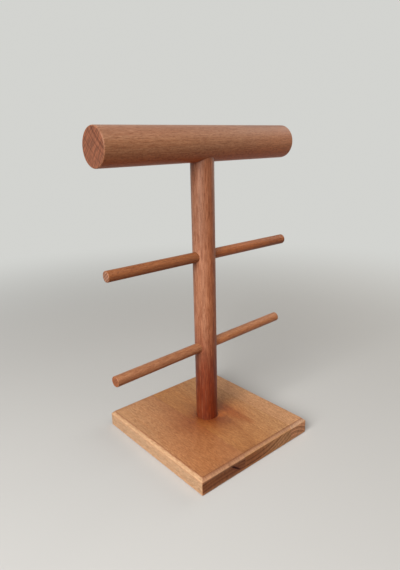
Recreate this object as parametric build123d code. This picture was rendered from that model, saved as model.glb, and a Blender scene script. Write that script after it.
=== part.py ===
"""Jewelry stand: a beech T-bar above two cross rods, on a glued-up square base.

Millimetres and degrees, +Z up. The origin is the middle of the base's underside. X runs along the
front edge of the base, as the bar and rods nearly do, and the grain of the base runs along Y.
"""
import os
from math import radians, tan

from build123d import *

# Base: three staves glued edge to edge, with one bevel round their shared top edge
stave_left_width = 52.5
stave_middle_width = 66.0
stave_right_width = 23.5
base_length = 150.0
base_thickness = 16.5
base_bevel = 3.0
base_underside_arris = 0.6
base_corner_radius = 0.8

# Post, which stands by the middle of the base
post_diameter = 22.0
post_x = 1.0
post_y = 0.0
post_end_chamfer = 0.6
base_socket_depth = 8.0
bar_socket_depth = 14.0
socket_clearance = 0.05

# Top bar: its axis measured from the top of the base, its middle from the post, its angle from X
bar_diameter = 32.0
bar_length = 222.5
bar_axis_height = 274.5
bar_shift = 0.5
bar_angle = 1.8
bar_end_radius = 1.0

# Cross rods: the same for each, as they were pushed through the post and glued by hand
rod_diameter = 10.0
rod_end_radius = 0.7
rod_hole_clearance = 0.05
upper_rod_length = 218.5
upper_rod_height = 172.0
upper_rod_shift = 2.75
upper_rod_angle = -0.4
lower_rod_length = 221.0
lower_rod_height = 79.5
lower_rod_shift = 1.5
lower_rod_angle = 2.8

# Countersunk wood screw, driven up through the base into the post
screw_length = 45.0
screw_head_diameter = 8.8
screw_head_angle = 90.0
screw_head_rim = 0.5
screw_shank_diameter = 3.4
screw_core_diameter = 2.8
screw_thread_diameter = 4.5
screw_thread_pitch = 2.2
screw_thread_length = 28.0
screw_thread_root = 1.3
screw_thread_crest = 0.25
screw_thread_bite = 0.1
screw_tip_length = 5.0
screw_recess_width = 1.1
screw_recess_span = 4.6
screw_recess_depth = 2.4
screw_head_inset = 1.0
screw_hole_clearance = 0.15
screw_tip_gap = 1.0

base_width = stave_left_width + stave_middle_width + stave_right_width
bar_axis_z = base_thickness + bar_axis_height
post_foot_z = base_thickness - base_socket_depth
post_top_z = bar_axis_z - bar_diameter / 2 + bar_socket_depth
upper_rod_z = base_thickness + upper_rod_height
lower_rod_z = base_thickness + lower_rod_height
screw_head_height = (screw_head_diameter - screw_shank_diameter) / 2 / tan(radians(screw_head_angle / 2))
screw_tip_z = screw_head_inset + screw_length

ON_FLOOR = (Align.CENTER, Align.CENTER, Align.MIN)


def upright(radius, bottom, top):
    """Cylinder along Z on the post's axis, between two heights."""
    return Pos(post_x, post_y, bottom) * Cylinder(radius, top - bottom, align=ON_FLOOR)


def level(radius, length, height, turn, shift=0.0):
    """Level cylinder through the post's axis, turned from X and with its middle shifted along itself."""
    across = Pos(post_x, post_y, height) * Rot(0, 0, turn) * Pos(shift, 0, 0)
    return across * Rot(0, 90, 0) * Cylinder(radius, length)


def end_edges(solid, axis):
    """The two end rims of a cylinder along an axis."""
    ends = solid.faces().sort_by(axis)
    return ends[0].edges() + ends[-1].edges()


def turned(outline):
    """Solid of revolution about the post's axis, from (radius, height) points in order."""
    profile = make_face(Polyline(*[(radius, 0, height) for radius, height in outline], close=True))
    return Pos(post_x, post_y, 0) * revolve(profile, Axis.Z, 360)


def screw_hole():
    """Clearance hole through the base with its countersink, deep enough to sink the head."""
    shank_radius = screw_shank_diameter / 2 + screw_hole_clearance
    head_radius = screw_head_diameter / 2 + screw_hole_clearance
    mouth_top = screw_head_inset + screw_head_rim
    return turned([(0, 0), (head_radius, 0), (head_radius, mouth_top),
                   (shank_radius, mouth_top + screw_head_height), (shank_radius, base_thickness),
                   (0, base_thickness)])


def base_panel():
    """The whole base as glued and planed: bevelled, with the post's socket and the screw's hole."""
    panel = Box(base_width, base_length, base_thickness, align=ON_FLOOR)
    panel = chamfer(panel.faces().sort_by(Axis.Z)[-1].edges(), base_bevel)
    panel = chamfer(panel.faces().sort_by(Axis.Z)[0].edges(), base_underside_arris)
    panel &= extrude(RectangleRounded(base_width, base_length, base_corner_radius), base_thickness)
    socket_radius = post_diameter / 2 + socket_clearance
    panel -= upright(socket_radius, base_thickness - base_socket_depth, base_thickness)
    return panel - screw_hole()


def staves():
    """The panel parted along its glue lines, from left to right."""
    panel = base_panel()
    pieces = {}
    left = -base_width / 2
    widths = (("left", stave_left_width), ("middle", stave_middle_width), ("right", stave_right_width))
    for name, width in widths:
        strip = Pos(left + width / 2, 0, 0) * Box(width, base_length, base_thickness, align=ON_FLOOR)
        pieces["base_stave_" + name] = panel & strip
        left += width
    return pieces


def post():
    """Round upright with two cross holes and a hole for the screw in its foot."""
    body = upright(post_diameter / 2, post_foot_z, post_top_z)
    body = chamfer(end_edges(body, Axis.Z), post_end_chamfer)
    hole_radius = rod_diameter / 2 + rod_hole_clearance
    for height, turn in ((upper_rod_z, upper_rod_angle), (lower_rod_z, lower_rod_angle)):
        body -= level(hole_radius, 2 * post_diameter, height, turn)
    thread_radius = screw_thread_diameter / 2 + screw_hole_clearance
    return body - upright(thread_radius, post_foot_z, screw_tip_z + screw_tip_gap)


def top_bar():
    """Thick round bar with a flat-floored socket for the post in its underside."""
    bar = level(bar_diameter / 2, bar_length, bar_axis_z, bar_angle, bar_shift)
    bar = fillet(end_edges(bar, Axis.X), bar_end_radius)
    socket_radius = post_diameter / 2 + socket_clearance
    return bar - upright(socket_radius, bar_axis_z - bar_diameter, post_top_z)


def cross_rod(length, height, turn, shift):
    """Thin rod through the post, with eased ends."""
    rod = level(rod_diameter / 2, length, height, turn, shift)
    return fillet(end_edges(rod, Axis.X), rod_end_radius)


def screw_thread():
    """One helical ridge, rooted just inside the core, that stops a turn short of shank and tip."""
    root = screw_core_diameter / 2 - screw_thread_bite
    crest = screw_thread_diameter / 2
    run = screw_thread_length - screw_tip_length - 2 * screw_thread_pitch
    section = Polyline((root, 0, -screw_thread_root / 2), (crest, 0, -screw_thread_crest / 2),
                       (crest, 0, screw_thread_crest / 2), (root, 0, screw_thread_root / 2), close=True)
    ridge = sweep(make_face(section), path=Helix(screw_thread_pitch, run, root), is_frenet=True)
    return Pos(post_x, post_y, screw_tip_z - screw_thread_length + screw_thread_pitch) * ridge


def base_screw():
    """Countersunk wood screw with a cross recess, its head down in the base's underside."""
    head_radius = screw_head_diameter / 2
    shank_radius = screw_shank_diameter / 2
    core_radius = screw_core_diameter / 2
    rim_top = screw_head_inset + screw_head_rim
    thread_start = screw_tip_z - screw_thread_length
    body = turned([(0, screw_head_inset), (head_radius, screw_head_inset), (head_radius, rim_top),
                   (shank_radius, rim_top + screw_head_height), (shank_radius, thread_start),
                   (core_radius, thread_start), (core_radius, screw_tip_z - screw_tip_length),
                   (0, screw_tip_z)])
    body += screw_thread()
    for angle in (0, 90):
        blade = Box(screw_recess_span, screw_recess_width, screw_recess_depth, align=ON_FLOOR)
        body -= Pos(post_x, post_y, screw_head_inset) * Rot(0, 0, angle) * blade
    return body


def main():
    pieces = staves()
    pieces["post"] = post()
    pieces["top_bar"] = top_bar()
    pieces["upper_rod"] = cross_rod(upper_rod_length, upper_rod_z, upper_rod_angle, upper_rod_shift)
    pieces["lower_rod"] = cross_rod(lower_rod_length, lower_rod_z, lower_rod_angle, lower_rod_shift)
    pieces["base_screw"] = base_screw()
    os.makedirs("parts", exist_ok=True)
    for name, shape in pieces.items():
        export_step(shape, "parts/" + name + ".step")


main()
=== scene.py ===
"""Visual pieces of a beech jewelry stand, built around its CAD frame.

Lengths are metres, +Z is up, and every piece sits where its CAD node sits. Surfaces are worked out
with numpy in millimetres and scaled once, when they become a mesh.
"""
import math
from functools import partial

import bmesh
import bpy
import numpy as np
from bpy.props import FloatProperty, FloatVectorProperty, PointerProperty
from bpy.types import Operator, Panel, PropertyGroup
from mathutils import Matrix, Vector


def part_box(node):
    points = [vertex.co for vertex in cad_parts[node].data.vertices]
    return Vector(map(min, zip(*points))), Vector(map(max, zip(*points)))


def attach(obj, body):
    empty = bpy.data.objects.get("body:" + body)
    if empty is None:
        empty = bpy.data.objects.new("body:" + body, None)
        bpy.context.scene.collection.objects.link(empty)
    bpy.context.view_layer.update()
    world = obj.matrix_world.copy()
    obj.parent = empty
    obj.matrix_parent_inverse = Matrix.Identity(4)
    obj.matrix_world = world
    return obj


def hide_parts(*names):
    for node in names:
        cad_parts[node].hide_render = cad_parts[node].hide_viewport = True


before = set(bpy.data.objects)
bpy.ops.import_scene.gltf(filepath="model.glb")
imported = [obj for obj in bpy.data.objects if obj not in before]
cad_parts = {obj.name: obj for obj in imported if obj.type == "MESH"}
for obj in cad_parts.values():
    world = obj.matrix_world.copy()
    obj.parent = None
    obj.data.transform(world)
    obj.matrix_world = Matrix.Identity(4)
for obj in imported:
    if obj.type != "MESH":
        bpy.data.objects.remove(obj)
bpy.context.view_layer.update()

bl_info = {
    "name": "Jewelry stand",
    "version": (1, 0, 0),
    "blender": (4, 5, 0),
    "location": "View3D > Sidebar > Stand",
    "description": "Builds the wood, the screw and the studio of a T-bar jewelry stand",
    "category": "Add Mesh",
}

MM = 0.001
ROUND = 64                        # divisions of a half turn on round pieces
WELD = 0.0015 * MM                # points closer than this are one point
STRAIGHT = 1e-6                   # a turn smaller than this needs no arc
CREASE = math.radians(40)         # faces that meet more sharply than this keep a crisp edge
BESIDE = 0.0015                   # share of the way to the row that keeps a flat face flat
MARKED = ("end", "pale", "worn")  # marks that each point carries for its finish


# Sizes read from the frame

def span(node):
    """Lowest and highest corner of a CAD node in millimetres."""
    low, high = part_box(node)
    return np.array(low) / MM, np.array(high) / MM


def middle(node):
    """Middle of a CAD node's box in millimetres."""
    low, high = span(node)
    return (low + high) / 2


# Surfaces, in millimetres

def grid(*columns):
    """Points from arrays of their coordinates, which stretch to one shape."""
    return np.stack(np.broadcast_arrays(*columns), -1)


def eased(corners, steps=5, hold=0.06):
    """Profile through corners given as (p, q, radius), each turned into an arc of its own radius.

    With unit directions a into the corner and b out of it and a turn of w between them, the arc
    leaves the legs at radius * tan(w / 2) and runs through centre + radius * (a sin t - n cos t),
    for t from 0 to w, n being the side that b turns to. One more point, hold outside each end of
    the arc, keeps the flats beside it flat in the shading.
    """
    points = np.array([corner[:2] for corner in corners], float)
    rows = [points[:1]]
    for before, corner, after, (_, _, radius) in zip(points, points[1:], points[2:], corners[1:]):
        into, out = (leg / np.linalg.norm(leg) for leg in (corner - before, after - corner))
        turn = math.acos(float(np.clip(into @ out, -1, 1)))
        if radius == 0 or turn < STRAIGHT:
            rows.append(corner[None])
            continue
        side = np.array([-into[1], into[0]])
        side *= np.sign(side @ out)
        reach = radius * math.tan(turn / 2)
        centre = corner - into * reach + side * radius
        t = np.linspace(0, turn, steps + 1)[:, None]
        arc = centre + radius * (into * np.sin(t) - side * np.cos(t))
        rows += [arc[:1] - into * hold, arc, arc[-1:] + out * hold]
    rows.append(points[-1:])
    return np.concatenate(rows)


def spread(profile, longest):
    """The same profile with its long straight runs divided into steps no longer than longest."""
    steps = np.diff(profile, axis=0)
    counts = np.maximum(1, np.ceil(np.linalg.norm(steps, axis=1) / longest)).astype(int)
    places = np.concatenate([i + np.arange(n) / n for i, n in enumerate(counts)] + [[len(steps)]])
    index = np.arange(len(profile))
    return grid(*(np.interp(places, index, column) for column in profile.T))


def crossed(first, last, shares):
    """Rows of points on straight lines from one ring to another, at shares of the way."""
    k = shares[:, None, None]
    return (1 - k) * first + k * last


def placed(local, frame_of_axis):
    """Points as lengths along an axis frame's three directions, put where the frame is."""
    origin, directions = frame_of_axis
    return np.array(origin, float) + local @ np.array(directions, float)


def turned(profile, frame_of_axis, start=0.0):
    """Surface of revolution: profile point (h, r) goes to (r cos t, r sin t, h) for every angle t.

    The angles match the borders of a mouth's sheet, and those of each row begin at its own start.
    """
    t = np.arange(2 * ROUND) * math.pi / ROUND + np.broadcast_to(start, len(profile))[:, None]
    h, r = profile[:, :1], profile[:, 1:]
    return placed(grid(r * np.cos(t), r * np.sin(t), h), frame_of_axis)


def level_axis(place, turn, down=False):
    """Axis frame of a level round piece: toward the sky or the floor, sideways, along its grain."""
    way = -1 if down else 1
    c, s = math.cos(turn), math.sin(turn)
    return place, ((0, 0, way), (way * s, -way * c, 0), (c, s, 0))


def upright_axis(place, turn=0.0):
    """Axis frame of an upright round piece, turned about itself."""
    c, s = math.cos(turn), math.sin(turn)
    return place, ((c, s, 0), (-s, c, 0), (0, 0, 1))


def own_reach(across, radius, ease, turn):
    """How far a level round piece reaches along itself, from how far it reaches along X.

    Its rounded rim touches the box where X = (reach - ease) cos w + (radius - ease) sin w + ease.
    """
    return ease + (across - ease - (radius - ease) * abs(math.sin(turn))) / math.cos(turn)


def mouth_border():
    """Points round a square's edge from -1 to 1 both ways, and the circle angles that face them."""
    t = np.arange(ROUND) / ROUND * 2 - 1
    one = np.ones(ROUND)
    sides = ((one, t), (-t, one), (-one, -t), (t, -one))
    angles = -math.pi / 4 + np.arange(4 * ROUND) * math.pi / 2 / ROUND
    return np.concatenate([grid(*side) for side in sides]), angles


def mouth(tube, hole, ease, reach, rows=26, crowding=1.4, roll_steps=5):
    """Half a tube's wall round the mouth of a hole that crosses it, from its borders to the hole.

    The wall point at angle f round the tube and height h is (R cos f, R sin f, h). The sheet runs
    in straight lines, in f and h, from a rectangle of a half turn by 2 reach to the curve where a
    circle of the hole's radius plus ease meets the wall: R sin f = r cos t, h = r sin t. Its rows
    crowd towards that curve. Then the rim rolls over a quarter turn of radius ease into the hole.
    """
    border, t = mouth_border()
    outer = grid(border[:, 0] * math.pi / 2, border[:, 1] * reach)
    wide = hole + ease
    inner = grid(np.arcsin(wide * np.cos(t) / tube), wide * np.sin(t))
    angle, height = np.moveaxis(crossed(inner, outer, np.linspace(1, 0, rows) ** crowding), -1, 0)
    wall = grid(tube * np.cos(angle), tube * np.sin(angle), height)
    w = np.linspace(0, math.pi / 2, roll_steps + 1)[1:, None]
    radius = wide - ease * np.sin(w)
    side = radius * np.cos(t)
    toward = np.sqrt(tube ** 2 - side ** 2) - ease * (1 - np.cos(w))
    return np.concatenate([wall, grid(toward, side, radius * np.sin(t))])


def outline(low, high, corner_radius, points=7, longest=1.6):
    """Points round a rectangle, and how each is tied to its sides.

    The rectangle's corners are arcs, whose radii are given in the order left front, right front,
    right back, left back. Each point is kept as (share along X, share along Y, offset x,
    offset y), so that the same outline can be drawn with its sides moved inwards.
    """
    width, depth = (high - low)[:2]
    shares = ((0, 0), (1, 0), (1, 1), (0, 1))
    arcs = []
    for start, share, radius in zip((180, 270, 0, 90), np.array(shares), corner_radius):
        t = np.radians(np.linspace(start, start + 90, points if radius else 1))
        offset = radius * (1 - 2 * share + grid(np.cos(t), np.sin(t)))
        arcs.append(np.concatenate([np.tile(share, (len(t), 1)), offset], -1))
    parts = []
    for arc, after, run in zip(arcs, arcs[1:] + arcs[:1], (width, depth, width, depth)):
        steps = int(run / longest)
        t = np.arange(1, steps)[:, None] / steps
        parts += [arc, arc[-1:] * (1 - t) + after[:1] * t]
    return np.concatenate(parts)


def ring_at(tied, low, high, inset, free, height):
    """The outline at one level: every free side moved inwards by inset, at a height."""
    left, right, front, back = (inset * side for side in free)
    x0, x1 = low[0] + left, high[0] - right
    y0, y1 = low[1] + front, high[1] - back
    x = x0 + tied[:, 0] * (x1 - x0) + tied[:, 2]
    y = y0 + tied[:, 1] * (y1 - y0) + tied[:, 3]
    return grid(x, y, height)


class Sheet:
    """A grid of points and their marks.

    end is end grain. pale is a long side made paler, partly as the wood's own tone and partly as
    painted light and sheen, or below 0 an end face's bevel. The third mark is an edge made paler,
    partly by wear and partly as a painted highlight, or below 0 a soaked one.
    """

    def __init__(self, points, wrap=(False, True), **marks):
        self.points = points
        self.wrap = wrap
        self.marks = {label: np.broadcast_to(marks.get(label, 0.0), points.shape[:2])
                      for label in MARKED}

    def quads(self):
        """Corner numbers of the grid's faces, joined across the borders that wrap."""
        rows, columns = self.points.shape[:2]
        number = np.arange(rows * columns).reshape(rows, columns)
        number = np.pad(number, [(0, int(joined)) for joined in self.wrap], "wrap")
        corners = (number[:-1, :-1], number[:-1, 1:], number[1:, 1:], number[1:, :-1])
        return grid(*corners).reshape(-1, 4)


def linked(name, data):
    """A new object that shows some data in the scene."""
    made = bpy.data.objects.new(name, data)
    bpy.context.scene.collection.objects.link(made)
    return made


def welded(mesh, closed=True):
    """Merges a mesh's doubles and shades it smooth. A closed one's faces are turned outwards."""
    work = bmesh.new()
    work.from_mesh(mesh)
    bmesh.ops.remove_doubles(work, verts=work.verts, dist=WELD)
    if closed:
        bmesh.ops.dissolve_degenerate(work, edges=work.edges, dist=WELD / 10)
        bmesh.ops.recalc_face_normals(work, faces=work.faces)
        loose = sum(not edge.is_manifold for edge in work.edges)
        if loose:
            raise RuntimeError(f"{mesh.name} is not closed: {loose} open edges")
    work.to_mesh(mesh)
    work.free()
    mesh.polygons.foreach_set("use_smooth", np.ones(len(mesh.polygons), bool))


def piece(node, sheets, finish):
    """Joins sheets into one closed mesh object that stands for a CAD node and rides with it."""
    name = "beech_" + node.replace("base_", "")
    counts = np.cumsum([0] + [s.points[..., 0].size for s in sheets])
    points = np.concatenate([s.points.reshape(-1, 3) for s in sheets]) * MM
    faces = np.concatenate([s.quads() + start for s, start in zip(sheets, counts)])
    mesh = bpy.data.meshes.new(name)
    mesh.from_pydata(points.tolist(), [], faces.tolist())
    for label in MARKED:
        values = np.concatenate([s.marks[label].ravel() for s in sheets]).astype(np.float32)
        mesh.attributes.new(label, "FLOAT", "POINT").data.foreach_set("value", values)
    welded(mesh)
    mesh.set_sharp_from_angle(angle=CREASE)
    mesh.materials.append(finish)
    made = linked(name, mesh)
    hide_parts(node)
    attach(made, "root")


# Finishes

def both_ways(operation):
    """The plain and the reflected method of an operator that adds one Math node."""
    return (lambda self, other: self.recipe.maths(operation, self, other),
            lambda self, other: self.recipe.maths(operation, other, self))


class Field:
    """A value that varies over a surface. Arithmetic on it adds Math nodes to its recipe."""

    def __init__(self, recipe, socket):
        self.recipe = recipe
        self.socket = socket

    __add__, __radd__ = both_ways("ADD")
    __sub__, __rsub__ = both_ways("SUBTRACT")
    __mul__, __rmul__ = both_ways("MULTIPLY")
    __truediv__, __rtruediv__ = both_ways("DIVIDE")
    __pow__, __rpow__ = both_ways("POWER")

    def __neg__(self):
        return 0 - self

    def __abs__(self):
        return self.recipe.maths("ABSOLUTE", self)

    def above(self, other=0.0):
        """The larger of this and another value."""
        return self.recipe.maths("MAXIMUM", self, other)


class Outputs:
    """A node's output sockets as fields, by name or by number."""

    def __init__(self, recipe, made):
        self.recipe = recipe
        self.made = made

    def __getitem__(self, key):
        return Field(self.recipe, self.made.outputs[key])


class Recipe:
    """The nodes of one material or of the world.

    end and dull say where there is end grain and where the surface has no coat, once they are set.
    """

    def __init__(self, owner):
        owner.use_nodes = True
        self.owner = owner
        self.tree = owner.node_tree
        self.tree.nodes.clear()
        self.end = 0.0
        self.dull = 0.0

    def add(self, kind, settings=None, inputs=None):
        """One node: its settings are set first, then each socket gets its value or its link."""
        made = self.tree.nodes.new("ShaderNode" + kind)
        for key, value in (settings or {}).items():
            setattr(made, key, value)
        for key, value in (inputs or {}).items():
            if isinstance(value, Field):
                self.tree.links.new(value.socket, made.inputs[key])
            else:
                made.inputs[key].default_value = value
        return Outputs(self, made)

    def maths(self, operation, *values):
        """One Math node of one or two values."""
        return self.add("Math", {"operation": operation}, dict(enumerate(values)))[0]

    def parts(self, vector):
        """The three components of a vector or colour."""
        split = self.add("SeparateXYZ", {}, {0: vector})
        return split[0], split[1], split[2]

    def joined(self, x, y, z):
        """A vector of three components."""
        return self.add("CombineXYZ", {}, {0: x, 1: y, 2: z})[0]

    def scaled(self, vector, factor):
        """A vector or colour times a number."""
        return self.add("VectorMath", {"operation": "SCALE"}, {0: vector, "Scale": factor})[0]

    def blended(self, first, second, share, blend="MIX"):
        """Two colours mixed, the second one taking over as share goes to 1."""
        settings = {"data_type": "RGBA", "blend_type": blend, "clamp_factor": True}
        return self.add("Mix", settings, {0: share, 6: first, 7: second})[2]

    def stained(self, tint, stain, share):
        """A colour with a second one multiplied in by a share."""
        return self.blended(tint, stain, share, "MULTIPLY")

    def smooth(self, value, low, high, kind="SMOOTHSTEP"):
        """0 below low, 1 above high, with a soft step between, or an even one for LINEAR."""
        limits = {"Value": value, "From Min": low, "From Max": high}
        return self.add("MapRange", {"interpolation_type": kind}, limits)[0]

    def noise(self, x, y, z, detail=2.0, roughness=0.5, output=0):
        """Noise of 1 mm cells, where x, y and z are divided by the size of cell that is wanted."""
        cells = {"Vector": self.joined(x, y, z), "Scale": 1.0}
        return self.add("TexNoise", {}, {**cells, "Detail": detail, "Roughness": roughness})[output]

    def finished(self, shader, kind="OutputMaterial"):
        """Ends the recipe with its shader, and gives the material or world."""
        self.add(kind, {}, {"Surface": shader})
        return self.owner


def rgba(colour, factor=(1, 1, 1)):
    """A colour property as four numbers, each channel times a factor."""
    return [c * f for c, f in zip(colour, factor)] + [1.0]


def beech(node, colour, turn=0.0):
    """Solid beech: the figure is cut out of a log whose pith line, lean and ring width are given.

    The growth rings are where distance from the pith line, bent a little by slow noise, passes
    whole numbers of ring widths, which noise along that distance makes uneven. Each ring darkens
    slowly outwards and ends at once, and a few dry years, given by their distance from the pith,
    leave a broader dark line. The rays are thin lenses, long along the grain and out from the
    pith: dark flecks on long grain, fine lines on end grain. Dashes are short dark pores and
    strands are light and dark threads, both along the grain.
    """
    wood = Recipe(bpy.data.materials.new(node.replace("top_", "") + "_beech"))
    cut, look = CUTS[node], LOOKS[node]
    seed = cut["seed"]
    place = {"Vector": wood.scaled(wood.add("TexCoord")["Object"], 1 / MM), "Angle": -turn}
    x, y, z = wood.parts(wood.add("VectorRotate", {"rotation_type": "Z_AXIS"}, place)[0])
    along, first, second = {"X": (x, y, z), "Y": (y, x, z), "Z": (z, x, y)}[cut["grain"]]

    def figure(thick, length, detail=2.0, roughness=0.6, seeds=1, output=0):
        """Noise with cells of one thickness across the grain and one length along it."""
        run = along / length + seed * seeds
        return wood.noise(first / thick, second / thick, run, detail, roughness, output)

    def toward(tint, shade, share):
        """The tint going over to one shade of the piece's own colour."""
        return wood.blended(tint, rgba(colour, look[shade]), share)

    bend = wood.parts(figure(30, 95, 1.5, 0.5, output="Color"))
    run = along - cut["start"]
    p, q = (across - pith - run * lean + (push - 0.5) * cut["wander"] for across, pith, lean, push
            in zip((first, second), cut["pith"], cut["lean"], bend))
    radius = (p * p + q * q) ** 0.5
    arc = wood.maths("ARCTAN2", q, p) * cut["reach"]

    one_way = {"noise_dimensions": "1D"}
    years = wood.add("TexNoise", one_way, {"W": radius / 7 + seed, "Scale": 1.0, "Detail": 2.0})[0]
    ring = radius / cut["ring"] + cut["shift"] + (years - 0.5) * cut["uneven"]
    count = wood.maths("FLOOR", ring)
    within = ring - count
    chance = wood.add("TexWhiteNoise", one_way, {"W": count + seed})["Value"]
    before_end = 1 - wood.smooth(within, 0.93, 1.0)
    late = wood.smooth(within, 0.25, 0.90) * before_end * (chance * 0.6 + 0.4)
    line = wood.smooth(within, 0.60, 0.88) * before_end * (chance * 0.7 + 0.3)
    for distance, weight in cut["dry_years"]:
        line = line.above((1 - wood.smooth(abs(radius - distance), 0.1, 1.0)) * weight)

    cell = wood.joined(arc / 0.55, along / 2.4, radius / 3)
    ray = wood.add("TexVoronoi", {}, {"Vector": cell, "Scale": 1.0})["Distance"]
    fleck = 1 - wood.smooth(ray, 0.20, 0.42)
    fan = wood.noise(arc / look["fan_size"], radius / 12, seed, 2.0, 0.6)
    fibre = figure(0.3, 8)
    dash = figure(*look["dash_size"], roughness=0.65)
    strand = figure(*look["strand_size"], seeds=2)
    streak = figure(2.4, 70, roughness=0.55)
    cloud = figure(24, 55, 1.0, 0.5, seeds=3)
    pore = figure(0.16, 1.6, 1.0, 0.5)

    end, pale, worn = (wood.add("Attribute", {"attribute_name": label})["Fac"] for label in MARKED)
    long, light = 1 - end, pale.above()
    wood.end = end

    tint = toward(rgba(colour), "late_tint", late * long * look["ring"])
    tint = toward(tint, "line_tint", line * long * look["line"])
    tint = toward(tint, "late_end", late * end * look["ring_end"])
    tint = toward(tint, "line_end_tint", line * end * look["line_end"])
    tint = toward(tint, "streak_tint", wood.smooth(streak, 0.42, 0.75) * look["streak"])
    level = 1 + (cloud - 0.5) * look["cloud"] + (fibre - 0.5) * look["fibre"]
    level = (level + (streak - 0.5) * look["grain"]) * (1 - fleck * long * look["fleck"])
    level = level * (1 + (wood.smooth(fan, 0.35, 0.65) - 0.5) * end * look["fan"])
    level = level * (1 - wood.smooth(pore, 0.60, 0.72) * look["pore"])
    right_end = look.get("end_tint_right", look["end_tint"])
    ends = wood.blended(rgba(look["end_tint"]), rgba(right_end), wood.smooth(x, *look["end_turns"]))
    tint = wood.stained(tint, ends, end)
    # Long sides that show are painted paler, partly their own tone and partly painted light and
    # sheen.
    tint = toward(tint, "pale_tint", light * look["pale"])
    tint = toward(tint, "bevel_tint", (-pale).above())
    dark = wood.smooth(dash, 0.46, 0.70) * long * (1 - light * 0.5) * look["dash"]
    tint = wood.stained(wood.scaled(tint, level), rgba(look["dash_tint"]), dark)
    threads = wood.blended(rgba(look["strand_light"]), rgba(look["strand_dark"]),
                           wood.smooth(strand, 0.32, 0.68))
    tint = wood.stained(tint, threads, (long * 0.8 + 0.2) * look["strand"])
    for mark in cut["marks"]:
        tint = mark(wood, tint, x, y, z)
    # Paler edges, partly wear and partly painted highlight, and darker soaked lines.
    wear_and_highlight = worn.above() * (wood.smooth(fibre, 0.3, 0.65) * 0.5 + 0.5)
    soaked = (-worn).above() * (wood.smooth(dash, 0.3, 0.6) * 0.5 + 0.5)
    tint = toward(tint, "edge_tint", wear_and_highlight * look["edge"])
    tint = toward(tint, "soaked_tint", soaked)

    rough = look["rough"] + (fibre - 0.5) * 0.12 + end * 0.12 - fleck * 0.05
    rough = rough + (cloud - 0.5) * 0.1 + wood.dull * 0.35
    height = (fibre - 0.5) * 0.5 - fleck * 0.25 - late * 0.2 - wood.smooth(pore, 0.6, 0.75) * 0.6
    relief = wood.add("Bump", {}, {"Strength": 0.25, "Distance": 0.06 * MM, "Height": height})
    coat = (1 - end * 0.7) * (1 - wood.dull) * look["coat"]
    sockets = {"Base Color": tint, "Roughness": rough, "IOR": 1.45, "Specular IOR Level": 0.3,
               "Normal": relief["Normal"], "Coat Weight": coat, "Coat Roughness": 0.42,
               "Coat IOR": 1.45}
    return wood.finished(wood.add("BsdfPrincipled", {}, sockets)[0])


# Marks: what one piece has at one place, drawn over its figure

def drift(across, start, stop, first, second, top_only=False):
    """A change of colour on long grain from one place to another, where across weighs x, y and z.

    With top_only everything below the base's flat top keeps the first colour.
    """
    def draw(wood, tint, x, y, z):
        share = wood.smooth(x * across[0] + y * across[1] + z * across[2], start, stop)
        if top_only:
            share = share * wood.smooth(z, 15.7, 16.4)
        return wood.stained(tint, wood.blended(rgba(first), rgba(second), share), 1 - wood.end)
    return draw


def painted_lower_post_shade(wood, tint, x, y, z):
    """Painted shade on the post's lower end, darker and redder towards the foot."""
    uneven = wood.noise(x / 9, y / 9, z / 60, 1.0)
    share = 1 - wood.smooth(z + (uneven - 0.5) * 30, 50.0, 145.0)
    threads = wood.noise(x / 0.8, y / 0.8, z / 18, 2.0, 0.6)
    return wood.stained(tint, (0.46, 0.165, 0.06, 1), share * (threads * 1.3 + 0.36))


def glue_line(side):
    """A thin dark seam along one side of the middle stave: 0 is its left side and 1 its right."""
    def draw(wood, tint, x, y, z):
        gap = abs(x - float(span("base_stave_middle")[side][0]))
        glue = (0.16, 0.06, 0.03, 1)
        return wood.blended(tint, glue, (1 - wood.smooth(gap, 0.04, 0.22)) * 0.45)
    return draw


def painted_foot_shade(wood, tint, x, y, z):
    """Painted shade round the post's foot, where shade falls in the corner between post and top,
    with a thin painted contact shadow where the post stands on the top.

    A wide warm ring and a nearer, darker one fall off with distance from the post and run out in
    threads along the grain, less so behind the post. The nearer one is brown to the left and
    golden to the right of the post. Right beside the foot on the right it turns into painted
    light that lifts the shadow there. A few painted shadow lines lie to its right. None of it goes
    through to the underside.
    """
    axis = middle("post")
    across, beside = x - axis[0], y - axis[1]
    deep = 1 - wood.smooth(z, 4.0, 12.0)
    away = (across * across + beside * beside) ** 0.5 + deep * 60
    threads = (wood.noise(x / 4, y / 30, 7.0) - 0.5) * 16
    front = 1 - wood.smooth(beside, -4.0, 22.0) * 0.6
    wide = wood.smooth(away + threads, 62.0, 12.0, "LINEAR") ** 1.5
    near = wood.smooth(away + threads * 0.5, 46.0, 14.0, "LINEAR") ** 1.2
    # Painted light next to the foot on the right, lifting the shadow there.
    painted_light_share = (1 - wood.smooth(away, 13.0, 21.0)) * wood.smooth(across, 3.0, 11.0)
    # Painted shadow lines to the right of the foot.
    lens = ((across - 23) / 8) ** 2 + ((beside + 16) / 32) ** 2 + threads / 16 + deep * 3
    # Thin painted contact shadow where the post stands on the top.
    contact_shade = (1 - wood.smooth(away, 11.1, 11.9)) * 0.6

    # Colours of the painted shade, and last of all of the painted light.
    warm, lines, seam = (0.80, 0.60, 0.45, 1), (0.82, 0.66, 0.56, 1), (0.12, 0.04, 0.02, 1)
    pale_brown, brown = (0.86, 0.70, 0.56, 1), (0.56, 0.38, 0.26, 1)
    golden, painted_light_tint = (1.05, 0.84, 0.50, 1), (1.32, 1.08, 0.62, 1)
    foot_shade_tint = wood.blended(pale_brown, brown, wood.smooth(across, -20.0, 0.0))
    foot_shade_tint = wood.blended(foot_shade_tint, golden, wood.smooth(across + beside * 0.3, 2.0, 14.0))
    foot_shade_tint = wood.blended(foot_shade_tint, painted_light_tint, painted_light_share)
    tint = wood.stained(tint, warm, wide * front)
    tint = wood.stained(tint, foot_shade_tint, near * front)
    tint = wood.stained(tint, lines, 1 - wood.smooth(lens, 0.1, 1.2))
    return wood.blended(tint, seam, contact_shade)


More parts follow.
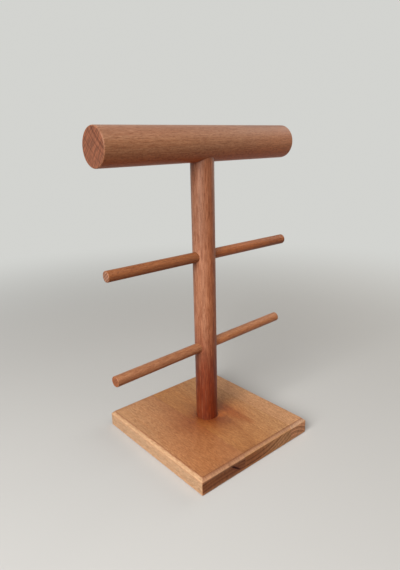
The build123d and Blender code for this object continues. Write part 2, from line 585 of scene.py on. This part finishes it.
def mineral_streak(wood, tint, x, y, z):
    """A dark slanting streak in the end grain of the left stave, only a few millimetres deep.

    In the plane of the end face it is a lens, where u squared plus v squared is less than 1. They
    are the ways along and across it over its half length and half width. Noise makes it uneven,
    and a warm brown border lies round it.
    """
    right, up, cosine, sine = x + 31.7, z - 9.0, 0.793, 0.607
    half_length, half_width = 9.6, 1.1
    u = (right * cosine - up * sine) / half_length
    v = (right * sine + up * cosine) / half_width
    lens = u * u + v * v + (wood.noise(x / 2.2, z / 2.2, y / 6, 2.0, 0.6) - 0.5) * 0.9
    halo = u * u * 0.7 + v * v * 0.10
    depth = 1 - wood.smooth(y + 75.0, 1.0, 5.0)
    brown, black = (0.13, 0.028, 0.012, 1), (0.028, 0.003, 0.001, 1)
    tint = wood.blended(tint, brown, (1 - wood.smooth(halo, 0.15, 1.0)) * depth * 0.5)
    wood.dull = (1 - wood.smooth(lens, 0.2, 1.15)) * depth
    return wood.blended(tint, black, wood.dull)


# How each piece was cut: the axis of its grain, where the pith line is at start and how it leans,
# the width and shift of the rings, the piece's distance from the pith, and its own marks

SAME = (1.0, 1.0, 1.0)
CUT = {"start": 0, "shift": 0.0, "wander": 2.0, "uneven": 0.0, "dry_years": ()}
CUTS = {
    "base_stave_left": dict(
        CUT, grain="Y", pith=(-45, -160), lean=(0.0, 0.02), start=-75, ring=3.4, shift=0.12,
        wander=2.5, reach=172, seed=3.1, dry_years=((172.7, 0.9), (169.4, 0.5)),
        # Painted light and shade on the top: a pale sheen towards the back left, darker towards the
        # front right.
        marks=(drift((1, -0.5, 0), -105.0, -20.0, (1.02, 1.10, 1.12), (0.79, 0.65, 0.50), True),
               mineral_streak, painted_foot_shade, glue_line(0))),
    "base_stave_middle": dict(
        CUT, grain="Y", pith=(-8.6, 95.4), lean=(0.0, -0.057), start=-75, ring=4.4, shift=0.985,
        reach=80, seed=11.7, dry_years=((92.6, 1.0), (88.4, 0.35), (84.6, 0.4)),
        marks=(drift((1, 0, 0), -2.0, 46.0, SAME, (1.06, 1.19, 1.43)),
               painted_foot_shade, glue_line(0), glue_line(1))),
    "base_stave_right": dict(
        CUT, grain="Y", pith=(49, -25.4), lean=(0.01, 0.02), start=-75, ring=4.25, shift=0.22,
        wander=1.0, reach=36, seed=23.9, dry_years=((38.0, 1.0), (33.8, 0.9), (29.6, 0.5)),
        marks=(drift((1, 0, 0), 44.0, 66.0, (0.96, 0.93, 0.90), (1.02, 1.02, 1.02)),
               glue_line(1))),
    "post": dict(
        CUT, grain="Z", pith=(-40, -46), lean=(0.01, -0.015), ring=2.4, reach=64, seed=37.3,
        # Painted shade: the post's side away from the light is redder and darker, and the lit side
        # a touch paler.
        marks=(drift((0.76, -0.65, 0), -1.0, 10.0, (1.03, 1.06, 1.06), (1.0, 0.78, 0.55)),
               drift((0, 0, 1), 150.0, 215.0, (1.05, 1.11, 1.12), (0.93, 1.0, 1.05)),
               painted_lower_post_shade)),
    "top_bar": dict(
        CUT, grain="X", pith=(-52, 350), lean=(0.01, 0.02), ring=2.6, reach=80, seed=41.9,
        uneven=3.0,
        # Painted shade: the bar's underside is redder, standing in for warm bounced light.
        marks=(drift((0, 0, 1), 276.0, 289.0, (1.30, 1.02, 0.75), SAME),
               # Painted sheen: the bar's top is paler and cooler.
               drift((0, 0, 1), 293.0, 306.0, (0.98, 1.0, 1.04), (0.98, 1.10, 1.45)),
               drift((0.25, 0, 1), 312.0, 330.0, SAME, (0.89, 0.83, 0.80)),
               drift((0.25, 0, -1), -292.0, -262.0, SAME, (1.24, 1.12, 1.0)))),
    "upper_rod": dict(
        CUT, grain="X", pith=(-30, 150), lean=(0.02, 0.01), ring=2.4, reach=50, seed=53.2,
        # Painted light on the rod beside the post's right side, where the post's shadow falls.
        marks=(drift((1, 0, 0), -10.0, 15.0, (0.97, 1.01, 1.04), (1.36, 1.26, 1.05)),
               drift((1, 0, 0), 50.0, 95.0, SAME, (0.75, 0.71, 0.62)))),
    "lower_rod": dict(
        CUT, grain="X", pith=(40, 60), lean=(-0.01, 0.01), ring=2.5, reach=50, seed=61.4,
        # Painted light on the rod beside the post's right side, where the post's shadow falls,
        # fading along the rod.
        marks=(drift((1, 0, 0), -10.0, 12.0, (0.98, 1.02, 1.04), (1.48, 1.42, 1.20)),
               drift((1, 0, 0), 16.0, 38.0, SAME, (0.79, 0.80, 0.81)))),
}

# Shades, times the piece's colour, and how strongly each part of the figure shows. Sizes are
# thickness and length in millimetres. end_turns is where end_tint goes over to end_tint_right.

LOOK = {
    "late_tint": (0.80, 0.68, 0.58), "ring": 0.30, "late_end": (0.62, 0.51, 0.43), "ring_end": 0.9,
    "line_tint": (0.62, 0.46, 0.36), "line": 0.35,
    "line_end_tint": (0.30, 0.20, 0.14), "line_end": 0.95,
    "streak_tint": (0.86, 0.76, 0.68), "streak": 0.45, "cloud": 0.18, "fibre": 0.45, "grain": 0.30,
    "fleck": 0.22, "pore": 0.10, "fan": 0.55, "fan_size": 0.5,
    "dash_tint": (0.60, 0.42, 0.30), "dash": 0.6, "dash_size": (0.75, 3.0),
    "strand_light": (1.20, 1.27, 1.33), "strand_dark": (0.80, 0.72, 0.66), "strand": 0.9,
    "strand_size": (0.6, 4.5), "end_tint": (0.62, 0.50, 0.44), "end_turns": (0.0, 1.0),
    "pale_tint": (1.15, 1.39, 1.70), "pale": 0.8, "bevel_tint": (0.88, 1.02, 1.35),
    "edge_tint": (1.25, 1.42, 1.62), "edge": 0.6, "soaked_tint": (0.38, 0.25, 0.19),
    "coat": 0.15, "rough": 0.5,
}
ROUND_LOOK = dict(LOOK, ring=0.2, line=0.15, coat=0.3, dash=0.65, dash_size=(0.75, 4.0),
                  strand=0.8, strand_size=(0.65, 9.0), grain=0.15, edge=0.45)
LOOKS = {
    "base_stave_left": dict(
        LOOK, ring=0.10, line=0.05, ring_end=1.0, line_end=0.8, late_end=(0.55, 0.44, 0.36),
        end_tint=(0.46, 0.33, 0.235), end_tint_right=(0.43, 0.305, 0.215),
        end_turns=(-62.0, -48.0), bevel_tint=(0.74, 0.72, 0.80), pale_tint=(0.96, 1.19, 1.46)),
    "base_stave_middle": dict(
        LOOK, ring=0.22, line=0.28, ring_end=0.7, fan=0.35, end_tint=(0.686, 0.583, 0.559),
        end_tint_right=(1.08, 1.33, 1.83), end_turns=(-10.0, 38.0),
        bevel_tint=(0.96, 1.10, 1.69)),
    "base_stave_right": dict(
        LOOK, ring=0.20, line=0.15, end_tint=(1.30, 1.33, 1.48), bevel_tint=(0.94, 1.03, 1.32)),
    "post": dict(
        ROUND_LOOK, streak=0.8, dash_size=(0.8, 9.0), dash=0.9, strand=1.0,
        strand_size=(0.8, 15.0), grain=0.3),
    "top_bar": dict(
        ROUND_LOOK, end_tint=(0.57, 0.465, 0.52), fan_size=1.2, fan=0.6, ring_end=0.6,
        line_end=0.45),
    "upper_rod": dict(ROUND_LOOK, end_tint=(1.06, 1.58, 3.1)),
    "lower_rod": dict(ROUND_LOOK, end_tint=(0.83, 0.73, 0.68)),
}


# Settings that a user would change

Length = partial(FloatProperty, unit="LENGTH")
Turn = partial(FloatProperty, subtype="ANGLE", description="Turn from the base's edge")
Colour = partial(FloatVectorProperty, subtype="COLOR")
WoodColour = partial(Colour, description="Oiled beech")
Power = partial(FloatProperty, min=0.0)


class StandSizes(PropertyGroup):
    """Small sizes that the frame's boxes don't show."""

    base_bevel: Length(name="Base bevel", default=3.0 * MM, description="Width and height")
    base_corner: Length(
        name="Base corner", default=0.8 * MM, description="Radius of upright corners")
    base_ease: Length(
        name="Base edges", default=0.45 * MM, description="Radius of the bevel's edges")
    base_arris: Length(
        name="Underside edge", default=0.6 * MM, description="Size of the broken edge")
    socket_depth: Length(name="Base socket", default=8.0 * MM, description="Depth under the post")
    clearance: Length(name="Glue line", default=0.05 * MM, description="Room round post and rods")
    rim: Length(
        name="Rims", default=0.25 * MM, description="Radius of the rims of sockets and holes")
    bar_ease: Length(
        name="Bar ends", default=1.0 * MM, description="Radius of the top bar's end edges")
    rod_ease: Length(name="Rod ends", default=0.7 * MM, description="Radius of the rods' end edges")
    top_bar: Turn(name="Bar turn", default=math.radians(1.8))
    upper_rod: Turn(name="Upper rod turn", default=math.radians(-0.4))
    lower_rod: Turn(name="Lower rod turn", default=math.radians(2.8))


class StandColours(PropertyGroup):
    """Colours of the finishes."""

    stave_left: WoodColour(name="Left stave", default=(0.525, 0.257, 0.121))
    stave_middle: WoodColour(name="Middle stave", default=(0.443, 0.196, 0.066))
    stave_right: WoodColour(name="Right stave", default=(0.51, 0.267, 0.126))
    post: WoodColour(name="Post", default=(0.360, 0.147, 0.079))
    bar: WoodColour(name="Top bar", default=(0.357, 0.156, 0.0705))
    upper_rod: WoodColour(name="Upper rod", default=(0.294, 0.098, 0.031))
    lower_rod: WoodColour(name="Lower rod", default=(0.380, 0.153, 0.067))
    steel: Colour(name="Screw", default=(0.62, 0.61, 0.58), description="Zinc on the screw")
    floor: Colour(
        name="Floor", default=(0.56, 0.557, 0.545), description="Pale paper under the stand")
    wall: Colour(
        name="Wall", default=(0.65, 0.655, 0.63), description="Pale wall as it looks behind it")


class StandLight(PropertyGroup):
    """Strengths of the studio's light."""

    window: Power(name="Window", default=30.0, description="Large soft lamp from the left")
    ceiling: Power(name="Ceiling", default=5.0, description="Soft lamp from above")
    far_wall: Power(name="Far wall", default=7.0, description="Soft lamp from the right")
    room: Power(name="Room", default=0.06, description="Even light from all round")


# Pieces

LONGEST = 4.0        # longest step along the post and the bar
ROD_LONGEST = 5.0    # longest step along a rod
WALL_LONGEST = 3.0   # longest step up a stave's wall
HOLE_ROWS = np.linspace(0, 1, 8)[1:-1]  # shares of the way down a hole's wall
LEAD = 9.0           # how far inside its outline a stave's wall profile starts
ARRIS_EASE = 0.25    # radius at both sides of the underside's broken edge
WEAR_AND_HIGHLIGHT_WIDTH = 0.45  # reach of the base's paler edges, wear and painted highlight
SOAKED_WIDTH = 0.42  # reach of the soaked line on top of its bevel
BEVEL_SHADE = 1.52   # strength of the end bevels' own shade
GLUED = 99.0         # counts a glued side as far away
SCREW_ROOM = 0.15    # room round the screw's head in the base
SHANK_HOLE = 1.85    # radius of the screw's hole through the base
HEAD_RIM = 0.5       # height of the screw head's upright rim
PILOT_HOLE = 2.4     # radius of the screw's hole in the post
PILOT_ROOM = 1.0     # room above the screw's tip
POST_CHAMFER = 0.6   # chamfer of the post's two ends


class BaseStaves(Operator):
    """Three beech staves glued edge to edge, with the bevel, the socket and the screw's hole"""

    bl_idname = "stand.base_staves"
    bl_label = "Base staves"

    def execute(self, context):
        sizes = context.scene.stand_sizes
        bevel, ease, arris = sizes.base_bevel / MM, sizes.base_ease / MM, sizes.base_arris / MM
        radius = sizes.base_corner / MM
        names = ("base_stave_left", "base_stave_middle", "base_stave_right")
        thick = span(names[0])[1][2]
        wall = eased([(LEAD, 0, 0), (arris, 0, ARRIS_EASE), (0, arris, ARRIS_EASE),
                      (0, thick - bevel, ease), (bevel, thick, ease), (LEAD, thick, 0)])[2:-2]
        wall = spread(wall, WALL_LONGEST)
        # Edges made paler, partly by wear and partly as a painted highlight.
        wear_and_highlight = self.near(wall, [(0, thick - bevel), (arris, 0), (0, arris)], WEAR_AND_HIGHLIGHT_WIDTH)
        soaked = self.near(wall, [(bevel, thick)], SOAKED_WIDTH)
        on_bevel = (wall[:, 1] > thick - bevel) & (wall[:, 0] < bevel)
        for name in names:
            low, high = span(name)
            left, right = name == names[0], name == names[2]
            free = (left, right, True, True)
            tied = outline(low, high, [radius * side for side in (left, right, right, left)])
            side = np.stack([ring_at(tied, low, high, d, free, h) for d, h in wall])
            if left or right:
                under, over = self.cap(side[0])[::-1], self.cap(side[-1])
            else:
                under, over = side[:0], self.bore(side, thick, sizes)
            points = np.concatenate([under, side, over])
            rows = slice(len(under), len(under) + len(side))
            ends, pale = self.facing(points, low, high, bevel, free)
            pale[rows] -= on_bevel[:, None] * BEVEL_SHADE * ends[rows]
            worn = np.zeros(points.shape[:2])
            worn[rows] = (wear_and_highlight - soaked)[:, None]
            wrap = (not (left or right), True)
            sheet = Sheet(points, wrap, end=ends, pale=pale, worn=worn)
            colour = getattr(context.scene.stand_colours, name.replace("base_", ""))
            piece(name, [sheet], beech(name, colour))
        return {"FINISHED"}

    @staticmethod
    def cap(ring):
        """Rings that shrink evenly from the outline of a flat face to its middle."""
        centre = (ring.min(0) + ring.max(0)) / 2
        return crossed(centre, ring, np.concatenate([[1 - BESIDE], np.linspace(1, 0, 14)[1:]]))

    @staticmethod
    def near(wall, corners, width):
        """1 at the given corners of the profile, falling to 0 over a width."""
        gap = np.linalg.norm(wall[:, None] - np.array(corners), axis=2).min(1)
        return np.exp(-(gap / width) ** 2)

    @staticmethod
    def facing(points, low, high, bevel, free):
        """How far each point belongs to the end faces, and how far to the long sides that show.

        Both are 1 on the upright faces, fall over the bevel to 0 on the top, and meet on the mitre.
        """
        x, y, z = np.moveaxis(points, -1, 0)
        to_end = np.minimum(y - low[1], high[1] - y)
        to_left, to_right = x - low[0] + GLUED * (not free[0]), high[0] - x + GLUED * (not free[1])
        to_side = np.minimum(to_left, to_right)
        above = z > 0.3
        ends = np.clip(1.3 - to_end / bevel, 0, 1) * (to_end <= to_side) * above
        sides = np.clip(1.3 - to_side / bevel, 0, 1) * (to_end > to_side) * above
        return ends, sides

    @staticmethod
    def bore(side, thick, sizes):
        """Rings from the top's outline in to the socket, down, through the hole and out below.

        Between an outline and a circle the rings run in straight lines from the post's axis.
        """
        rim = sizes.rim / MM
        axis = middle("post")[:2]
        socket = span("post")[1][0] - axis[0] + sizes.clearance / MM
        screw_low = span("base_screw")[0]
        head = middle("base_screw")[0] - screw_low[0] + SCREW_ROOM
        floor = thick - sizes.socket_depth / MM
        mouth_top = screw_low[2] + HEAD_RIM
        toward = side[-1, :, :2] - axis
        toward = toward / np.linalg.norm(toward, axis=1, keepdims=True)
        profile = eased([(socket + 2, thick, 0), (socket, thick, rim), (socket, floor, 0),
                         (SHANK_HOLE, floor, 0), (SHANK_HOLE, mouth_top + head - SHANK_HOLE, 0),
                         (head, mouth_top, 0), (head, 0, 0), (head + 2, 0, 0)])
        inner = np.stack([grid(*(axis + toward * r).T, h) for r, h in profile])
        shares = np.concatenate([[BESIDE], np.linspace(0, 1, 14)[1:-1], [1 - BESIDE]])
        return np.concatenate([crossed(side[-1], inner[0], shares), inner,
                               crossed(inner[-1], side[0], shares)])


class Post(Operator):
    """Round post with two cross holes for the rods and a bore for the screw in its foot"""

    bl_idname = "stand.post"
    bl_label = "Post"

    def execute(self, context):
        sizes = context.scene.stand_sizes
        low, high = span("post")
        axis = (low + high) / 2
        radius = high[0] - axis[0]
        rod_low, rod_high = span("lower_rod")
        hole = (rod_high[2] - rod_low[2]) / 2 + sizes.clearance / MM
        heights = [middle("lower_rod")[2], middle("upper_rod")[2]]
        turns = [sizes.lower_rod, sizes.upper_rod]
        reach, inner, ease = 13.0, radius - POST_CHAMFER, 0.1
        bore_top = span("base_screw")[1][2] + PILOT_ROOM
        foot = eased([(bore_top, 0, 0), (bore_top, PILOT_HOLE, 0), (low[2], PILOT_HOLE, 0),
                      (low[2], inner, ease), (low[2] + POST_CHAMFER, radius, ease),
                      (heights[0] - reach, radius, 0)])
        head = eased([(heights[1] + reach, radius, 0), (high[2] - POST_CHAMFER, radius, ease),
                      (high[2], inner, ease), (high[2], 0, 0)])
        between = np.array([(heights[0] + reach, radius), (heights[1] - reach, radius)])
        sheets = []
        upright = upright_axis((axis[0], axis[1], 0))
        for profile, starts in ((foot, turns[:1] * 2), (between, turns), (head, turns[1:] * 2)):
            profile = spread(profile, LONGEST)
            points = turned(profile, upright, np.linspace(*starts, len(profile)))
            flat = abs(np.gradient(profile[:, 0])) < 1e-3
            sheets.append(Sheet(points, end=flat[:, None]))
        hole_wall = self.cross_hole(radius, hole, sizes.rim / MM, reach)
        for height, turn in zip(heights, turns):
            crossing = upright_axis((axis[0], axis[1], height), turn)
            sheets.append(Sheet(placed(hole_wall, crossing)))
        piece("post", sheets, beech("post", context.scene.stand_colours.post))
        return {"FINISHED"}

    @staticmethod
    def cross_hole(radius, hole, rim, reach):
        """Both halves of the wall round a cross hole, joined by the hole's own wall."""
        near = mouth(radius, hole, rim, reach)
        far = near[::-1] * [-1, 1, 1]
        return np.concatenate([near, crossed(near[-1], far[0], HOLE_ROWS), far])


def round_end(start, stop, radius, ease, longest, frame_of_axis):
    """A turned end from start to stop: end grain on its face and a paler rim on its edge."""
    profile = spread(eased([(start, radius, 0), (stop, radius, ease), (stop, 0, 0)], 7), longest)
    depth = abs(profile[:, 0] - stop)
    end = np.clip(1 - depth / ease, 0, 1) ** 0.7
    inward = radius - profile[:, 1]
    # The rim is paler partly by wear and partly as a painted highlight.
    worn = np.clip(1.1 - depth / ease, 0, 1) * np.clip(1.1 - inward / ease, 0, 1)
    return Sheet(turned(profile, frame_of_axis), end=end[:, None], worn=worn[:, None])


class TopBar(Operator):
    """Thick round bar with eased ends and a blind socket in its underside"""

    bl_idname = "stand.top_bar"
    bl_label = "Top bar"

    def execute(self, context):
        sizes = context.scene.stand_sizes
        low, high = span("top_bar")
        height = (low[2] + high[2]) / 2
        radius = high[2] - height
        post_high = span("post")[1]
        axis = middle("post")
        hole = post_high[0] - axis[0] + sizes.clearance / MM
        turn, ease, reach = sizes.top_bar, sizes.bar_ease / MM, 26.0
        down = level_axis((axis[0], axis[1], height), turn, down=True)
        half = mouth(radius, hole, sizes.rim / MM, reach)
        bottom = half[-1] * [0, 1, 1] + [height - post_high[2], 0, 0]
        wall = crossed(half[-1], bottom, HOLE_ROWS)
        disc = crossed(bottom * [1, 0, 0], bottom, np.linspace(1, 0, 6))
        t = np.linspace(math.pi / 2, 3 * math.pi / 2, ROUND + 1)
        h = np.linspace(-reach, reach, ROUND + 1)[:, None]
        back = grid(radius * np.cos(t), radius * np.sin(t), h)
        sheets = [Sheet(placed(np.concatenate([half, wall, disc]), down)),
                  Sheet(placed(back, down), wrap=(False, False))]
        for way, across in ((1, high[0] - axis[0]), (-1, axis[0] - low[0])):
            stop = way * own_reach(across, radius, ease, turn)
            sheets.append(round_end(way * reach, stop, radius, ease, LONGEST, down))
        finish = beech("top_bar", context.scene.stand_colours.bar, turn)
        piece("top_bar", sheets, finish)
        return {"FINISHED"}


class CrossRods(Operator):
    """The two thin rods that pass through the post"""

    bl_idname = "stand.cross_rods"
    bl_label = "Cross rods"

    def execute(self, context):
        sizes = context.scene.stand_sizes
        for node in ("upper_rod", "lower_rod"):
            high = span(node)[1]
            centre = middle(node)
            radius = high[2] - centre[2]
            turn, ease = getattr(sizes, node), sizes.rod_ease / MM
            level = level_axis(centre, turn)
            half = own_reach(high[0] - centre[0], radius, ease, turn)
            sheets = [round_end(0, stop, radius, ease, ROD_LONGEST, level)
                      for stop in (half, -half)]
            colour = getattr(context.scene.stand_colours, node)
            piece(node, sheets, beech(node, colour, turn))
        return {"FINISHED"}


class BaseScrew(Operator):
    """Zinc finish on the countersunk screw under the base"""

    bl_idname = "stand.base_screw"
    bl_label = "Base screw"

    def execute(self, context):
        steel = Recipe(bpy.data.materials.new("screw_zinc"))
        x, y, z = steel.parts(steel.scaled(steel.add("TexCoord")["Object"], 1 / MM))
        brushed = steel.noise(x / 0.6, y / 0.6, z / 0.25, 3.0)
        cloud = steel.noise(x / 3, y / 3, z / 3, 1.0)
        colour = steel.scaled(list(context.scene.stand_colours.steel), 0.85 + cloud * 0.3)
        sockets = {"Base Color": colour, "Metallic": 1.0, "Roughness": 0.28 + brushed * 0.22}
        finish = steel.finished(steel.add("BsdfPrincipled", {}, sockets)[0])
        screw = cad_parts["base_screw"]
        screw.data.materials.clear()
        screw.data.materials.append(finish)
        return {"FINISHED"}


LAMP_SIZE = 0.9      # side of each square lamp
LAMP_AWAY = 1.4      # its distance from the middle of the stand
STAND_MIDDLE = 0.14  # height that the lamps look at


class Studio(Operator):
    """Plain pale floor and backdrop, soft light and the camera"""

    bl_idname = "stand.studio"
    bl_label = "Studio"

    def execute(self, context):
        scene = context.scene
        scene.view_settings.view_transform = "Standard"
        self.camera(scene)
        self.backdrop(scene.stand_colours)
        self.world(scene)
        light = scene.stand_light
        self.lamp("window", 200, 30, light.window, (1.0, 0.985, 0.96))
        self.lamp("ceiling", 270, 62, light.ceiling, (1.0, 0.99, 0.97))
        self.lamp("far_wall", 0, 20, light.far_wall, (1.0, 0.92, 0.82))
        return {"FINISHED"}

    @staticmethod
    def camera(scene):
        """Camera solved from the photograph's edges.

        Its yaw is counted from +Y to +X, and its focal length was found in pixels of the picture.
        """
        data = bpy.data.cameras.new("camera")
        made = linked("camera", data)
        scene.camera = made
        yaw, pitch, roll = (math.radians(a) for a in (40.346, -16.797, 1.308))
        ahead = math.cos(pitch)
        forward = Vector((math.sin(yaw) * ahead, math.cos(yaw) * ahead, math.sin(pitch)))
        level = Vector((math.cos(yaw), -math.sin(yaw), 0))
        down = forward.cross(level)
        right = level * math.cos(roll) + down * math.sin(roll)
        up = level * math.sin(roll) - down * math.cos(roll)
        made.matrix_world = Matrix((right, up, -forward)).transposed().to_4x4()
        made.location = (-0.29222, -0.33836, 0.29432)
        focal_pixels, picture_height = 480.51, 570
        data.sensor_width = 36.0
        data.lens = focal_pixels / picture_height * data.sensor_width
        data.clip_start, data.clip_end = 0.01, 30.0

    @staticmethod
    def backdrop(colours):
        """One sheet turned about Z: a flat floor, a quarter circle and an upright wall."""
        t = np.linspace(0, 2 * math.pi, 145)[:-1]
        bend = np.linspace(0, math.pi / 2, 25)[1:]
        flat, sweep, top, under = np.linspace(0, 1.3, 20), 0.9, 2.8, 0.1 * MM
        radius = flat[-1]
        r = np.concatenate([flat, radius + sweep * np.sin(bend), [radius + sweep]])[:, None]
        h = np.concatenate([0 * flat, sweep * (1 - np.cos(bend)), [top]])[:, None]
        points = grid(r * np.cos(t), r * np.sin(t), h - under)
        mesh = bpy.data.meshes.new("backdrop")
        mesh.from_pydata(points.reshape(-1, 3).tolist(), [], Sheet(points).quads().tolist())
        welded(mesh, closed=False)
        mesh.materials.append(Studio.paper(colours))
        made = linked("backdrop", mesh)

    @staticmethod
    def paper(colours):
        """Matt paper near the stand that fades into an evenly lit wall.

        For bounced light the paper is darker and the wall isn't there, so neither adds light.
        """
        paper = Recipe(bpy.data.materials.new("studio_paper"))
        x, y, z = paper.parts(paper.add("TexCoord")["Object"])
        far = paper.smooth((x * x + y * y) ** 0.5, 0.25, 1.0)
        path = paper.add("LightPath")
        seen = path["Is Camera Ray"].above(path["Is Glossy Ray"])
        seen = seen.above(path["Is Transmission Ray"])
        near = paper.add("BsdfDiffuse", {}, {"Color": rgba(colours.floor)})[0]
        wall = paper.add("Emission", {}, {"Color": rgba(colours.wall), "Strength": 1.0})[0]
        shown = paper.add("MixShader", {}, {0: far, 1: near, 2: wall})[0]
        dull = paper.add("BsdfDiffuse", {}, {"Color": (0.26, 0.11, 0.06, 1)})[0]
        clear = paper.add("BsdfTransparent")[0]
        bounced = paper.add("MixShader", {}, {0: far, 1: dull, 2: clear})[0]
        return paper.finished(paper.add("MixShader", {}, {0: seen, 1: bounced, 2: shown})[0])

    @staticmethod
    def world(scene):
        """Even warm light from all round."""
        scene.world = bpy.data.worlds.new("room")
        room = Recipe(scene.world)
        sockets = {"Color": (1.0, 0.95, 0.90, 1), "Strength": scene.stand_light.room}
        room.finished(room.add("Background", {}, sockets)[0], "OutputWorld")

    @staticmethod
    def lamp(name, azimuth, elevation, power, colour):
        """Square soft lamp that faces the stand, its azimuth counted from +X towards +Y."""
        data = bpy.data.lights.new(name, "AREA")
        data.shape = "SQUARE"
        data.size = LAMP_SIZE
        data.energy = power
        data.color = colour
        made = linked(name, data)
        turn, rise = math.radians(azimuth), math.radians(elevation)
        level = math.cos(rise)
        away = Vector((math.cos(turn) * level, math.sin(turn) * level, math.sin(rise)))
        made.location = Vector((0, 0, STAND_MIDDLE)) + away * LAMP_AWAY
        made.rotation_mode = "QUATERNION"
        made.rotation_quaternion = away.to_track_quat("Z", "Y")
        made.visible_camera = False


class StandPanel(Panel):
    """Lists the stand's pieces and settings"""

    bl_idname = "VIEW3D_PT_jewelry_stand"
    bl_label = "Jewelry stand"
    bl_space_type = "VIEW_3D"
    bl_region_type = "UI"
    bl_category = "Stand"

    def draw(self, context):
        scene = context.scene
        for kind in BUILDERS:
            self.layout.operator(kind.bl_idname)
        for name, group in GROUPS.items():
            column = self.layout.column(align=True)
            for setting in group.__annotations__:
                column.prop(getattr(scene, name), setting)


BUILDERS = (Studio, BaseStaves, Post, TopBar, CrossRods, BaseScrew)
GROUPS = {"stand_sizes": StandSizes, "stand_colours": StandColours, "stand_light": StandLight}
CLASSES = (*GROUPS.values(), *BUILDERS, StandPanel)


def register():
    for kind in CLASSES:
        bpy.utils.register_class(kind)
    for name, group in GROUPS.items():
        setattr(bpy.types.Scene, name, PointerProperty(type=group))


def unregister():
    for name in GROUPS:
        delattr(bpy.types.Scene, name)
    for kind in reversed(CLASSES):
        bpy.utils.unregister_class(kind)


def main():
    register()
    bpy.ops.stand.studio()
    bpy.ops.stand.base_staves()
    bpy.ops.stand.post()
    bpy.ops.stand.top_bar()
    bpy.ops.stand.cross_rods()
    bpy.ops.stand.base_screw()


if __name__ == "__main__":
    main()
